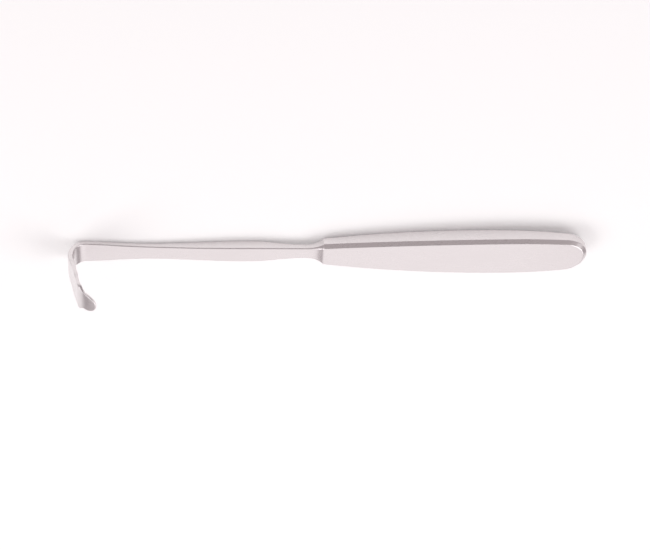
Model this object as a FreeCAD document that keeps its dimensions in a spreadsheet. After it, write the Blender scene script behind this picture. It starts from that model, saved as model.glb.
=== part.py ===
"""Handheld surgical retractor with a flat paddle handle, a slim shaft and a lipped right-angle blade.

The instrument is one piece of stainless steel. It is drawn with the handle's mouth at X = 0, the
handle towards -X, the blade end towards +X, the width along Y and the blade pointing along +Z.
The body is then laid down as the instrument comes to rest: on the belly of the handle and the back
of the blade's bend, with the middle of its box over the origin and the surface at Z = 0.
"""

import FreeCAD, Part
import math
import os
import sys

import Sketcher

NODE = "retractor"
PARTS_FOLDER = "parts"

# Name, size in millimetres or degrees (a share has no unit), and what it sets.
SIZES = [
    ("handle_length", 109.8, "handle, from its mouth to the end of its nose"),
    ("mouth_width", 12.9, "width of the handle where the shaft enters it"),
    ("belly_width", 21.8, "widest place of the handle"),
    ("belly_place", 76.3, "distance of the widest place from the mouth"),
    ("nose_radius", 9.6, "rounding of the handle's end, seen from above"),
    ("handle_thickness", 8.0, "thickness half way along the handle"),
    ("handle_end_thickness", 5.74, "thickness at the mouth and at the nose"),
    ("bevel", 1.4, "bevel between the broad faces and the narrow sides"),
    ("polish_radius", 0.4, "softening of the handle's edges"),
    ("cove_share", 0.9, "how much of a quarter ellipse the cove before the mouth follows"),
    ("neck_place", 7.5, "neck, the slimmest place of the shaft, from the mouth"),
    ("neck_width", 6.3, "width at the neck"),
    ("neck_thickness", 2.5, "thickness at the neck"),
    ("swell_place", 31.0, "place of the shaft's swell"),
    ("swell_width", 8.7, "width at the swell"),
    ("swell_thickness", 4.26, "thickness at the swell"),
    ("waist_place", 66.0, "waist of the shaft, where it starts to widen"),
    ("waist_width", 7.7, "width at the waist"),
    ("strip_run", 15.8, "plain strip between the shaft and the bend"),
    ("flare_back", 2.7, "how far inside the reach the strip has its full width in the bend"),
    ("flare_share", 0.6, "how far along its way to the bend the strip's side turns from hollow to full"),
    ("bend_width", 11.5, "width of the strip in the bend"),
    ("strip_thickness", 1.95, "thickness of the strip through the bend"),
    ("strip_edge", 0.45, "rounding of the strip's edges"),
    ("reach", 105.3, "outermost point of the blade's back, from the mouth"),
    ("bend_radius", 7.5, "outer radius of the bend"),
    ("bend_turn", 105, "turn of the bend: the blade leans back over the shaft"),
    ("blade_run", 14.8, "straight run of the blade's back, from the bend to the lip"),
    ("blade_width", 16.6, "widest place of the blade"),
    ("widest_drop", 4.8, "how far below the crease the widest place lies"),
    ("crease_width", 15.2, "width where the lip turns inwards"),
    ("crease_thickness", 1.35, "thickness where the lip turns inwards"),
    ("lip_radius", 0.9, "inner radius of the lip's turn"),
    ("lip_turn", 18, "turn of the lip at the crease"),
    ("lip_run", 9.4, "length of the lip, straight from its turn to its tip"),
    ("lip_curl", 38, "how far the lip curls on from its turn to its tip"),
    ("lip_thickness", 1.0, "thickness of the lip at its tip"),
    ("tongue_width", 10.2, "width of the lip's round tongue"),
    ("tongue_share", 0.42, "how far along its way the tongue's side turns from hollow to full"),
]
SIZE = {name: value for name, value, meaning in SIZES}

# Where a section of the cove is drawn, as shares of the way from the neck to the mouth.
COVE_STATIONS = [1.0, 0.86, 0.7, 0.5, 0.3, 0.13, 0.0]

# Half the width, half the thickness and the corner with which a section is first drawn.
FIRST_DRAWN = (4.0, 1.5, 0.5)

# How far a trimming profile runs past what it trims, and what counts as touching.
TRIM = 2.0
TOUCH = 0.01

# The share of the bend's radius up to which the strip is trimmed from above.
SPLIT = 0.55

# The rounding of the strip's edges, which the lip's thickness limits.
EDGE_SHARE = 0.42
EDGE = f"min([strip_edge]; {EDGE_SHARE} * [lip_thickness])"

# The lip's outer radius, and the middle of its turn, measured from the middle of the mouth.
LIP_OUTER = "([lip_radius] + [crease_thickness])"
LIP_ALONG = (
    f"([reach] - [bend_radius] + ([bend_radius] - {LIP_OUTER}) * sin([bend_turn])"
    " + [blade_run] * cos([bend_turn]))"
)
LIP_UP = (
    f"([bend_radius] - [strip_thickness] / 2 - ([bend_radius] - {LIP_OUTER}) * cos([bend_turn])"
    " + [blade_run] * sin([bend_turn]))"
)

# The radius of the lip's curled outer face.
CURL_RADIUS = "([lip_run] / (2 * sin([lip_curl] / 2)))"

AXIS_Y = FreeCAD.Vector(0, 1, 0)
AXIS_Z = FreeCAD.Vector(0, 0, 1)

# How a sketch numbers the points of a shape, and its own two axes and their crossing.
START, END, CENTRE = range(1, 4)
X_AXIS, Y_AXIS = range(-1, -3, -1)
ORIGIN = (X_AXIS, START)


def make_sheet(doc):
    """Writes the driving dimensions into a spreadsheet, each with its alias."""
    sheet = doc.addObject("Spreadsheet::Sheet", "Sizes")
    for row, (name, value, meaning) in enumerate(SIZES, start=1):
        sheet.set(f"A{row}", meaning)
        sheet.set(f"B{row}", str(value))
        sheet.setAlias(f"B{row}", name)
    doc.recompute()


def bind(item, place, text):
    """Binds a property to an expression in which [name] stands for a driving dimension."""
    item.setExpression(place, text.replace("[", "Sizes.").replace("]", ""))


def origin_plane(body, role):
    """Finds one of the body's own origin planes."""
    return next(f for f in body.Origin.OriginFeatures if f.Role == role)


def new_sketch(body, name, role):
    """Starts a sketch on one of the body's origin planes."""
    sketch = body.newObject("Sketcher::SketchObject", name)
    sketch.AttachmentSupport = (origin_plane(body, role), [""])
    sketch.MapMode = "FlatFace"
    return sketch


def drawn_size(sketch, kind, where):
    """Measures in the sketch, as it is drawn, what a dimension of this kind will hold."""
    if kind == "Radius":
        return sketch.Geometry[where[0]].Radius
    if kind == "Distance":
        return sketch.Geometry[where[0]].length()
    if kind == "Angle":
        shape = sketch.Geometry[where[0]]
        if isinstance(shape, Part.ArcOfCircle):
            return shape.LastParameter - shape.FirstParameter
        along = shape.EndPoint - shape.StartPoint
        return math.atan2(along.y, along.x)
    first, second = (sketch.getPoint(*where[i : i + 2]) for i in (0, 2))
    return second.x - first.x if kind == "DistanceX" else second.y - first.y


def dimension(sketch, name, text, kind, *where):
    """Adds a named dimension to a sketch and binds it to the driving dimensions."""
    drawn = drawn_size(sketch, kind, where)
    sketch.addConstraint(Sketcher.Constraint(kind, *where, drawn))
    sketch.renameConstraint(sketch.ConstraintCount - 1, name)
    bind(sketch, f"Constraints.{name}", text)


def relate(sketch, *constraints):
    """Adds constraints that carry no dimension."""
    for kind, *where in constraints:
        sketch.addConstraint(Sketcher.Constraint(kind, *where))


def vector(x, y):
    return FreeCAD.Vector(x, y, 0)


def line(start, end):
    return Part.LineSegment(vector(*start), vector(*end))


def arc(centre, radius, start_degrees, end_degrees):
    """An arc that runs anticlockwise about its centre."""
    circle = Part.Circle(vector(*centre), AXIS_Z, radius)
    return Part.ArcOfCircle(circle, math.radians(start_degrees), math.radians(end_degrees))


def handle_crown(body):
    """The handle from the side, crowned along its length and run past both ends."""
    sketch = new_sketch(body, "HandleCrown", "XZ_Plane")
    length = SIZE["handle_length"]
    bow = (SIZE["handle_thickness"] - SIZE["handle_end_thickness"]) / 2
    radius = (length**2 / 4 + bow**2) / (2 * bow)
    lift = radius - SIZE["handle_thickness"] / 2
    sweep = math.degrees(math.asin((length / 2 + TRIM) / radius))
    end = radius * math.cos(math.radians(sweep)) - lift

    sketch.addGeometry(
        [
            line((TRIM, -end), (TRIM, end)),
            arc((-length / 2, -lift), radius, 90 - sweep, 90 + sweep),
            line((-length - TRIM, end), (-length - TRIM, -end)),
            arc((-length / 2, lift), radius, 270 - sweep, 270 + sweep),
        ],
        False,
    )
    relate(
        sketch,
        ("Coincident", 0, END, 1, START),
        ("Coincident", 1, END, 2, START),
        ("Coincident", 2, END, 3, START),
        ("Coincident", 3, END, 0, START),
        ("Vertical", 0),
        ("Vertical", 2),
    )
    bow = "([handle_thickness] - [handle_end_thickness]) / 2"
    radius = f"([handle_length]^2 / 4 + ({bow})^2) / (2 * ({bow}))"
    for name, index in (("upper", 1), ("lower", 3)):
        dimension(sketch, f"{name}_radius", radius, "Radius", index)
        dimension(sketch, f"{name}_place", "[handle_length] / 2", "DistanceX", index, CENTRE, *ORIGIN)
    lift = f"{radius} - [handle_thickness] / 2"
    dimension(sketch, "upper_lift", lift, "DistanceY", 1, CENTRE, *ORIGIN)
    dimension(sketch, "lower_lift", lift, "DistanceY", *ORIGIN, 3, CENTRE)
    dimension(sketch, "mouth_end", f"{TRIM}", "DistanceX", *ORIGIN, 0, START)
    dimension(sketch, "nose_end", f"[handle_length] + {TRIM}", "DistanceX", 2, START, *ORIGIN)
    return sketch


def handle_outline(body):
    """The handle from above, as the hole in a frame: arcs from the mouth to the round nose."""
    sketch = new_sketch(body, "HandleOutline", "XY_Plane")
    mouth = SIZE["mouth_width"] / 2
    belly = SIZE["belly_width"] / 2
    belly_x = -SIZE["belly_place"]
    nose = SIZE["nose_radius"]
    nose_x = nose - SIZE["handle_length"]
    to_nose = belly_x - nose_x
    rise = belly - mouth
    front_radius = (belly_x**2 + rise**2) / (2 * rise)
    back_radius = (to_nose**2 + belly**2 - nose**2) / (2 * (belly - nose))
    front_sweep = math.degrees(math.asin(-belly_x / front_radius))
    back_sweep = math.degrees(math.asin(to_nose / (back_radius - nose)))
    front_y = belly - front_radius
    back_y = belly - back_radius

    sketch.addGeometry(
        [
            line((0, -mouth), (0, mouth)),
            arc((belly_x, front_y), front_radius, 90 - front_sweep, 90),
            arc((belly_x, back_y), back_radius, 90, 90 + back_sweep),
            arc((nose_x, 0), nose, 90 + back_sweep, 270 - back_sweep),
            arc((belly_x, -back_y), back_radius, 270 - back_sweep, 270),
            arc((belly_x, -front_y), front_radius, 270, 270 + front_sweep),
        ],
        False,
    )
    relate(
        sketch,
        ("Coincident", 0, END, 1, START),
        ("Tangent", 1, END, 2, START),
        ("Tangent", 2, END, 3, START),
        ("Tangent", 3, END, 4, START),
        ("Tangent", 4, END, 5, START),
        ("Coincident", 5, END, 0, START),
        ("Vertical", 1, CENTRE, 1, END),
        ("PointOnObject", 0, END, Y_AXIS),
        ("Symmetric", 0, START, 0, END, X_AXIS),
        ("Symmetric", 1, END, 4, END, X_AXIS),
        ("PointOnObject", 3, CENTRE, X_AXIS),
        ("Equal", 1, 5),
    )
    dimension(sketch, "mouth_width", "[mouth_width]", "DistanceY", 0, START, 0, END)
    dimension(sketch, "belly_width", "[belly_width]", "DistanceY", 4, END, 1, END)
    dimension(sketch, "belly_place", "[belly_place]", "DistanceX", 1, END, *ORIGIN)
    dimension(sketch, "nose_radius", "[nose_radius]", "Radius", 3)
    dimension(sketch, "nose_place", "[handle_length] - [nose_radius]", "DistanceX", 3, CENTRE, *ORIGIN)

    far = SIZE["handle_length"] + 2 * TRIM
    near = 2 * TRIM
    side = belly + 2 * TRIM
    corners = [(near, -side), (near, side), (-far, side), (-far, -side), (near, -side)]
    sketch.addGeometry([line(a, b) for a, b in zip(corners, corners[1:])], False)
    relate(
        sketch,
        ("Coincident", 6, END, 7, START),
        ("Coincident", 7, END, 8, START),
        ("Coincident", 8, END, 9, START),
        ("Coincident", 9, END, 6, START),
        ("Vertical", 6),
        ("Horizontal", 7),
        ("Vertical", 8),
        ("Horizontal", 9),
    )
    dimension(sketch, "frame_near", f"{near}", "DistanceX", *ORIGIN, 6, START)
    dimension(sketch, "frame_far", f"[handle_length] + {near}", "DistanceX", 8, START, *ORIGIN)
    half = f"[belly_width] / 2 + {near}"
    dimension(sketch, "frame_left", half, "DistanceY", *ORIGIN, 7, START)
    dimension(sketch, "frame_right", half, "DistanceY", 9, START, *ORIGIN)
    return sketch


def rim_edges(shape, along_faces):
    """Names the edges round the chosen faces, apart from those at the mouth."""
    names = []
    for number, edge in enumerate(shape.Edges, start=1):
        at_mouth = all(abs(vertex.X) < TOUCH for vertex in edge.Vertexes)
        if not at_mouth and any(edge.isSame(other) for face in along_faces for other in face.Edges):
            names.append(f"Edge{number}")
    return names


def crowned_faces(shape):
    """The broad faces of the handle: they are round about an axis across it."""
    return [f for f in shape.Faces if is_round_about(f, AXIS_Y)]


def is_round_about(face, axis):
    """Tells whether a face is part of a cylinder whose axis runs this way."""
    surface = face.Surface
    return isinstance(surface, Part.Cylinder) and abs(surface.Axis.dot(axis)) > 1 - TOUCH


def side_edges(shape):
    """Names the long edges of the handle's narrow sides, above and below."""
    names = []
    sides = [f for f in shape.Faces if is_round_about(f, AXIS_Z)]
    for number, edge in enumerate(shape.Edges, start=1):
        heights = [vertex.Z for vertex in edge.Vertexes]
        runs_along = min(heights) * max(heights) > 0
        at_mouth = all(abs(vertex.X) < TOUCH for vertex in edge.Vertexes)
        if runs_along and not at_mouth and any(edge.isSame(e) for f in sides for e in f.Edges):
            names.append(f"Edge{number}")
    return names


def make_handle(doc, body):
    """The flat paddle: a crowned bar trimmed to its outline, bevelled and softened."""
    pad = body.newObject("PartDesign::Pad", "HandleBar")
    pad.Profile = handle_crown(body)
    pad.Midplane = True
    bind(pad, "Length", f"[belly_width] + {TRIM}")
    doc.recompute()

    trim = body.newObject("PartDesign::Pocket", "HandleTrim")
    trim.Profile = handle_outline(body)
    trim.Midplane = True
    bind(trim, "Length", f"[handle_thickness] + {TRIM}")
    doc.recompute()

    bevel = body.newObject("PartDesign::Chamfer", "HandleBevel")
    bevel.Base = (trim, rim_edges(trim.Shape, crowned_faces(trim.Shape)))
    bind(bevel, "Size", "[bevel]")
    doc.recompute()

    soft = body.newObject("PartDesign::Fillet", "HandleEdges")
    soft.Base = (bevel, rim_edges(bevel.Shape, crowned_faces(bevel.Shape)) + side_edges(bevel.Shape))
    bind(soft, "Radius", "[polish_radius]")
    doc.recompute()


def section(body, name, place, width, thickness, corner):
    """One cross-section of the cove, a rectangle with rounded corners."""
    sketch = new_sketch(body, name, "YZ_Plane")
    bind(sketch, "AttachmentOffset.Base.z", place)

    half, depth, radius = FIRST_DRAWN
    flat, wall = half - radius, depth - radius
    sketch.addGeometry(
        [
            line((-flat, -depth), (flat, -depth)),
            arc((flat, -wall), radius, 270, 360),
            line((half, -wall), (half, wall)),
            arc((flat, wall), radius, 0, 90),
            line((flat, depth), (-flat, depth)),
            arc((-flat, wall), radius, 90, 180),
            line((-half, wall), (-half, -wall)),
            arc((-flat, -wall), radius, 180, 270),
        ],
        False,
    )
    relate(
        sketch,
        *[("Tangent", edge, END, (edge + 1) % 8, START) for edge in range(8)],
        ("Horizontal", 0),
        ("Vertical", 2),
        ("Horizontal", 4),
        ("Vertical", 6),
        ("Equal", 1, 3),
        ("Equal", 1, 5),
        ("Equal", 1, 7),
        ("Symmetric", 0, START, 4, START, *ORIGIN),
    )
    dimension(sketch, "width", width, "DistanceX", 6, START, 2, START)
    dimension(sketch, "thickness", thickness, "DistanceY", 0, START, 4, START)
    dimension(sketch, "corner", corner, "Radius", 1)
    return sketch


def make_cove(doc, body):
    """The cove that opens from the neck to the handle's mouth, along part of a quarter ellipse."""
    full = "(1 - sqrt(1 - [cove_share]^2))"
    sections = []
    for number, share in enumerate(COVE_STATIONS, start=1):
        opened = f"(1 - sqrt(1 - ([cove_share] * {share})^2)) / {full}"
        width = f"[neck_width] + ([mouth_width] - [neck_width]) * {opened}"
        thickness = f"[neck_thickness] + ([handle_end_thickness] - [neck_thickness]) * {opened}"
        corner = f"{EDGE} + ([bevel] - {EDGE}) * {opened}"
        place = f"[neck_place] * {1 - share:.4g}"
        sections.append(section(body, f"CoveSection{number}", place, width, thickness, corner))
    doc.recompute()
    cove = body.newObject("PartDesign::AdditiveLoft", "Cove")
    cove.Profile = sections[0]
    cove.Sections = sections[1:]
    doc.recompute()


def drawn_wave(start, end, share):
    """Two arcs that lead from one level place to another, drawn without their constraints.

    The side turns from hollow to full, or the other way, at this share of the way.
    """
    run, rise = end[0] - start[0], end[1] - start[1]
    near_radius = share * (run**2 + rise**2) / (2 * abs(rise))
    far_radius = (1 - share) * (run**2 + rise**2) / (2 * abs(rise))
    sweep = math.degrees(math.asin(share * run / near_radius))
    up = 1 if rise > 0 else -1
    near_centre = (start[0], start[1] + up * near_radius)
    far_centre = (end[0], end[1] - up * far_radius)
    near_from, far_from = (270, 90) if up > 0 else (90 - sweep, 270 - sweep)
    return (
        arc(near_centre, near_radius, near_from, near_from + sweep),
        arc(far_centre, far_radius, far_from, far_from + sweep),
    )


class Chain:
    """Draws one line or arc after another in a sketch, each joined to the last."""

    def __init__(self, sketch):
        self.sketch = sketch
        self.last = None
        self.first = None

    def add(self, shape, near, far, joint="Tangent"):
        """Adds a shape by its near and far ends and returns its number."""
        self.sketch.addGeometry(shape, False)
        number = self.sketch.GeometryCount - 1
        if self.last:
            relate(self.sketch, (joint, *self.last, number, near))
        else:
            self.first = (number, near)
        self.last = (number, far)
        return number

    def wave(self, start, end, share=None):
        """Adds the two arcs of a wave, level at both ends, and returns their numbers.

        The arcs are alike unless the share of the way at which they meet is given.
        """
        near_arc, far_arc = drawn_wave(start, end, share or 1 / 2)
        rising = end[1] > start[1]
        near = self.add(near_arc, *((START, END) if rising else (END, START)))
        near_end = (near, START if rising else END)
        far = self.add(far_arc, *((END, START) if rising else (START, END)))
        if self.first == near_end:
            relate(self.sketch, ("Vertical", near, CENTRE, *near_end))
        relate(self.sketch, ("Vertical", far, CENTRE, far, START if rising else END))
        if share is None:
            relate(self.sketch, ("Equal", near, far))
        return near, far

    def line(self, start, end, joint="Tangent"):
        """Adds a straight line and returns its number."""
        return self.add(line(start, end), START, END, joint)

    def beside(self, shape):
        """Draws a shape that isn't joined to the chain and returns its number."""
        self.sketch.addGeometry(shape, False)
        return self.sketch.GeometryCount - 1

    def close(self):
        """Joins the last end to the first."""
        relate(self.sketch, ("Coincident", *self.last, *self.first))


def mirrored(body, feature, name):
    """Repeats a cut on the other side of the middle plane."""
    mirror = body.newObject("PartDesign::Mirrored", name)
    mirror.Originals = [feature]
    mirror.MirrorPlane = (origin_plane(body, "XZ_Plane"), [""])
    body.Tip = mirror
    return mirror


def direction(degrees):
    """The unit vector of a heading in the side view, and the one to its left."""
    turn = math.radians(degrees)
    return (math.cos(turn), math.sin(turn)), (-math.sin(turn), math.cos(turn))


def moved(point, heading, distance):
    return point[0] + heading[0] * distance, point[1] + heading[1] * distance


def bearing(start, end):
    """The direction from one point to another, in degrees."""
    return math.degrees(math.atan2(end[1] - start[1], end[0] - start[0]))


def crossing(first, first_radius, second, second_radius):
    """Where two circles meet, on the left of the way from the first centre to the second."""
    apart = math.dist(first, second)
    way = (apart**2 + first_radius**2 - second_radius**2) / (2 * apart)
    along, left = direction(bearing(first, second))
    return moved(moved(first, along, way), left, math.sqrt(first_radius**2 - way**2))


def strip_side(body):
    """The shaft, bend, blade and lip from the side, as one outline of tangent arcs and lines."""
    sketch = new_sketch(body, "StripSide", "XZ_Plane")
    s = SIZE
    outer, inner = s["bend_radius"], s["bend_radius"] - s["strip_thickness"]
    centre = (s["reach"] - outer, outer - s["strip_thickness"] / 2)
    neck = (s["neck_place"], s["neck_thickness"] / 2)
    swell = (s["swell_place"], s["swell_thickness"] / 2)
    root = (centre[0] - s["strip_run"], s["strip_thickness"] / 2)
    below = [(x, -y) for x, y in (neck, swell, root)]
    lip_outer, lip_inner = s["lip_radius"] + s["crease_thickness"], s["lip_radius"]
    turned = s["bend_turn"]
    along, left = direction(turned)
    blade_start = moved(centre, left, -outer)
    blade_end = moved(blade_start, along, s["blade_run"])
    lip_centre = moved(blade_end, left, lip_outer)
    lip_heading = turned + s["lip_turn"]
    lip_left = direction(lip_heading)[1]
    curl_radius = s["lip_run"] / (2 * math.sin(math.radians(s["lip_curl"] / 2)))
    curl_centre = moved(lip_centre, lip_left, curl_radius - lip_outer)
    tip_heading = lip_heading + s["lip_curl"] + math.degrees(TRIM / curl_radius)
    tip_left = direction(tip_heading)[1]
    tip = moved(curl_centre, tip_left, -curl_radius)
    inner_tip = moved(tip, tip_left, s["lip_thickness"])

    lean = math.asin((inner - lip_inner) / math.dist(centre, lip_centre))
    inner_heading = bearing(centre, lip_centre) + math.degrees(lean)
    inner_left = direction(inner_heading)[1]
    inner_blade = [moved(centre, inner_left, -inner), moved(lip_centre, inner_left, -lip_inner)]
    inner_curl = curl_radius - s["crease_thickness"]
    inner_curl_centre = crossing(lip_centre, inner_curl - lip_inner, inner_tip, inner_curl)
    inner_lip_heading = bearing(inner_curl_centre, lip_centre) + 90
    inner_tip_heading = bearing(inner_curl_centre, inner_tip) + 90

    low = Chain(sketch)
    low_neck = low.wave(below[0], below[1])[0]
    low_root = low.wave(below[1], below[2])[1]
    low.line(below[2], (centre[0], below[2][1]))
    bend = low.add(arc(centre, outer, 270, 270 + turned), START, END)
    blade = low.line(blade_start, blade_end)
    lip_bend = low.add(arc(lip_centre, lip_outer, turned - 90, lip_heading - 90), START, END)
    lip = low.add(arc(curl_centre, curl_radius, lip_heading - 90, tip_heading - 90), START, END)
    end = low.line(tip, inner_tip, "Perpendicular")
    inner_lip_arc = arc(inner_curl_centre, inner_curl, inner_lip_heading - 90, inner_tip_heading - 90)
    inner_lip = low.add(inner_lip_arc, END, START, "Coincident")
    inner_lip_bend = low.add(
        arc(lip_centre, lip_inner, inner_heading - 90, inner_lip_heading - 90), END, START
    )
    low.line(inner_blade[1], inner_blade[0])
    inner_bend = low.add(arc(centre, inner, 270, 270 + inner_heading), END, START)
    low.line((centre[0], root[1]), root)

    high = Chain(sketch)
    high_neck, high_swell = high.wave(neck, swell)
    high_root = high.wave(swell, root)[1]
    neck_line = high.beside(line(neck, below[0]))
    relate(
        sketch,
        ("Tangent", *high.last, *low.last),
        ("Coincident", neck_line, START, *high.first),
        ("Coincident", neck_line, END, *low.first),
        ("Symmetric", neck_line, START, neck_line, END, X_AXIS),
        ("Symmetric", high_swell, START, low_neck + 1, END, X_AXIS),
        ("Symmetric", *high.last, low_root, START, X_AXIS),
        ("Coincident", bend, CENTRE, inner_bend, CENTRE),
        ("Coincident", lip_bend, CENTRE, inner_lip_bend, CENTRE),
    )
    dimension(sketch, "neck_place", "[neck_place]", "DistanceX", *ORIGIN, *high.first)
    dimension(sketch, "neck_thickness", "[neck_thickness]", "DistanceY", neck_line, END, neck_line, START)
    dimension(sketch, "swell_place", "[swell_place]", "DistanceX", *ORIGIN, high_swell, START)
    half = "[swell_thickness] / 2"
    dimension(sketch, "swell_thickness", half, "DistanceY", *ORIGIN, high_swell, START)
    root_place = "[reach] - [bend_radius] - [strip_run]"
    dimension(sketch, "root_place", root_place, "DistanceX", *ORIGIN, *high.last)
    dimension(sketch, "strip_thickness", "[strip_thickness] / 2", "DistanceY", *ORIGIN, *high.last)
    dimension(sketch, "bend_place", "[reach] - [bend_radius]", "DistanceX", *ORIGIN, bend, CENTRE)
    dimension(sketch, "bend_radius", "[bend_radius]", "Radius", bend)
    dimension(sketch, "blade_heading", "[bend_turn] * 1 deg", "Angle", blade)
    dimension(sketch, "blade_run", "[blade_run]", "Distance", blade)
    dimension(sketch, "lip_outer", LIP_OUTER, "Radius", lip_bend)
    dimension(sketch, "lip_inner", "[lip_radius]", "Radius", inner_lip_bend)
    dimension(sketch, "lip_turn", "[lip_turn] * 1 deg", "Angle", lip_bend)
    dimension(sketch, "curl_radius", CURL_RADIUS, "Radius", lip)
    curl = f"[lip_curl] * 1 deg + {TRIM} * 1 rad / {CURL_RADIUS}"
    dimension(sketch, "lip_curl", curl, "Angle", lip)
    dimension(sketch, "inner_curl_radius", f"{CURL_RADIUS} - [crease_thickness]", "Radius", inner_lip)
    dimension(sketch, "lip_thickness", "[lip_thickness]", "Distance", end)
    return sketch


def trim_outline(sketch, knots, bound, shares, far, far_text, side, side_text):
    """Half an outline of waves between level places, closed on its outer side.

    knots are drawn places, bound the same places as expressions. The last level place runs on
    straight to the far end, and the region reaches out to the given side.
    """
    chain = Chain(sketch)
    waves = [chain.wave(a, b, share) for a, b, share in zip(knots, knots[1:], shares)]
    chain.line(knots[-1], (far, knots[-1][1]))
    out = chain.line((far, knots[-1][1]), (far, side), "Coincident")
    back = chain.line((far, side), (knots[0][0], side), "Coincident")
    down = chain.line((knots[0][0], side), knots[0], "Coincident")
    chain.close()
    relate(sketch, ("Vertical", out), ("Horizontal", back), ("Vertical", down))
    places = [chain.first]
    for (near, distant), a, b, share in zip(waves, knots, knots[1:], shares):
        places.append((distant, START if b[1] > a[1] else END))
        if share:
            turn = (distant, END if b[1] > a[1] else START)
            start_text, end_text = bound[len(places) - 2][0], bound[len(places) - 1][0]
            text = f"({start_text}) + [flare_share] * (({end_text}) - ({start_text}))"
            dimension(sketch, f"turn{len(places) - 1}", text, "DistanceX", *ORIGIN, *turn)
    for number, (place, (along, aside)) in enumerate(zip(places, bound)):
        dimension(sketch, f"along{number}", along, "DistanceX", *ORIGIN, *place)
        dimension(sketch, f"aside{number}", aside, "DistanceY", *ORIGIN, *place)
    dimension(sketch, "far", far_text, "DistanceX", *ORIGIN, out, START)
    dimension(sketch, "side", side_text, "DistanceY", *ORIGIN, back, START)


def plan_trim(body):
    """What the strip's outline leaves beside the shaft and the bend, seen from above."""
    sketch = new_sketch(body, "StripPlan", "XY_Plane")
    names = ["neck", "swell", "waist"]
    knots = [(SIZE[f"{name}_place"], SIZE[f"{name}_width"] / 2) for name in names]
    bound = [(f"[{name}_place]", f"[{name}_width] / 2") for name in names]
    trim_outline(
        sketch,
        knots + [(SIZE["reach"] - SIZE["flare_back"], SIZE["bend_width"] / 2)],
        bound + [("[reach] - [flare_back]", "[bend_width] / 2")],
        [None, None, SIZE["flare_share"]],
        SIZE["reach"] + TRIM,
        f"[reach] + {TRIM}",
        SIZE["blade_width"] / 2 + TRIM,
        f"[blade_width] / 2 + {TRIM}",
    )
    return sketch


def front_trim(body):
    """What the blade's outline leaves beside it, seen from the front, from the bend upwards."""
    sketch = new_sketch(body, "BladeFront", "YZ_Plane")
    sketch.AttachmentOffset = FreeCAD.Placement(FreeCAD.Vector(), FreeCAD.Rotation(AXIS_Z, 90))
    start = SIZE["bend_radius"] * SPLIT
    top = SIZE["bend_radius"] + SIZE["blade_run"] + SIZE["lip_run"] + TRIM
    turned = math.radians(SIZE["bend_turn"])
    bow = SIZE["bend_radius"] - SIZE["lip_radius"] - SIZE["crease_thickness"]
    middle = SIZE["bend_radius"] - SIZE["strip_thickness"] / 2
    lip_up = middle - bow * math.cos(turned) + SIZE["blade_run"] * math.sin(turned)
    crease = lip_up - SIZE["lip_radius"]
    trim_outline(
        sketch,
        [
            (start, SIZE["bend_width"] / 2),
            (crease - SIZE["widest_drop"], SIZE["blade_width"] / 2),
            (crease, SIZE["crease_width"] / 2),
        ],
        [
            (f"[bend_radius] * {SPLIT}", "[bend_width] / 2"),
            (f"{LIP_UP} - [lip_radius] - [widest_drop]", "[blade_width] / 2"),
            (f"{LIP_UP} - [lip_radius]", "[crease_width] / 2"),
        ],
        [None, None],
        top,
        f"[bend_radius] + [blade_run] + [lip_run] + {TRIM}",
        SIZE["blade_width"] / 2 + TRIM,
        f"[blade_width] / 2 + {TRIM}",
    )
    return sketch


def tongue_trim(body):
    """What the tongue's rounded outline leaves of the lip, in the plane of the lip's chord."""
    sketch = new_sketch(body, "Tongue", "XY_Plane")
    sketch.AttachmentOffset = FreeCAD.Placement(FreeCAD.Vector(), FreeCAD.Rotation(AXIS_Y, -1))
    heading = "([bend_turn] + [lip_turn])"
    bind(sketch, "AttachmentOffset.Base.x", f"{LIP_ALONG} + {LIP_OUTER} * sin({heading})")
    bind(sketch, "AttachmentOffset.Base.z", f"{LIP_UP} - {LIP_OUTER} * cos({heading})")
    bind(sketch, "AttachmentOffset.Rotation.Angle", f"-({heading} + [lip_curl] / 2)")

    half, nose, run = SIZE["crease_width"] / 2, SIZE["tongue_width"] / 2, SIZE["lip_run"]
    far, side = run + 2 * TRIM, SIZE["blade_width"] / 2 + TRIM
    chain = Chain(sketch)
    shoulder = chain.wave((0, half), (run - nose, nose), SIZE["tongue_share"])[0]
    tip = chain.add(arc((run - nose, 0), nose, 0, 90), END, START)
    ahead = chain.line((run, 0), (far, 0), "Coincident")
    out = chain.line((far, 0), (far, side), "Coincident")
    back = chain.line((far, side), (0, side), "Coincident")
    down = chain.line((0, side), (0, half), "Coincident")
    chain.close()
    relate(
        sketch,
        ("PointOnObject", tip, CENTRE, X_AXIS),
        ("PointOnObject", tip, START, X_AXIS),
        ("PointOnObject", shoulder, END, Y_AXIS),
        ("Horizontal", ahead),
        ("Vertical", out),
        ("Horizontal", back),
        ("Vertical", down),
    )
    dimension(sketch, "half_width", "[crease_width] / 2", "DistanceY", *ORIGIN, shoulder, END)
    turn = "[tongue_share] * ([lip_run] - [tongue_width] / 2)"
    dimension(sketch, "turn", turn, "DistanceX", *ORIGIN, shoulder, START)
    dimension(sketch, "lip_run", "[lip_run]", "DistanceX", *ORIGIN, tip, START)
    dimension(sketch, "nose", "[tongue_width] / 2", "Radius", tip)
    dimension(sketch, "far", f"[lip_run] + {2 * TRIM}", "DistanceX", *ORIGIN, out, START)
    dimension(sketch, "side", f"[blade_width] / 2 + {TRIM}", "DistanceY", *ORIGIN, back, START)
    return sketch


def is_profile(face):
    """Tells whether a face of the strip comes from its side outline, the neck's end apart."""
    if is_round_about(face, AXIS_Y):
        return True
    if not isinstance(face.Surface, Part.Plane) or abs(face.normalAt(0, 0).y) > TOUCH:
        return False
    return any(abs(vertex.X - SIZE["neck_place"]) > TOUCH for vertex in face.Vertexes)


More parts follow.
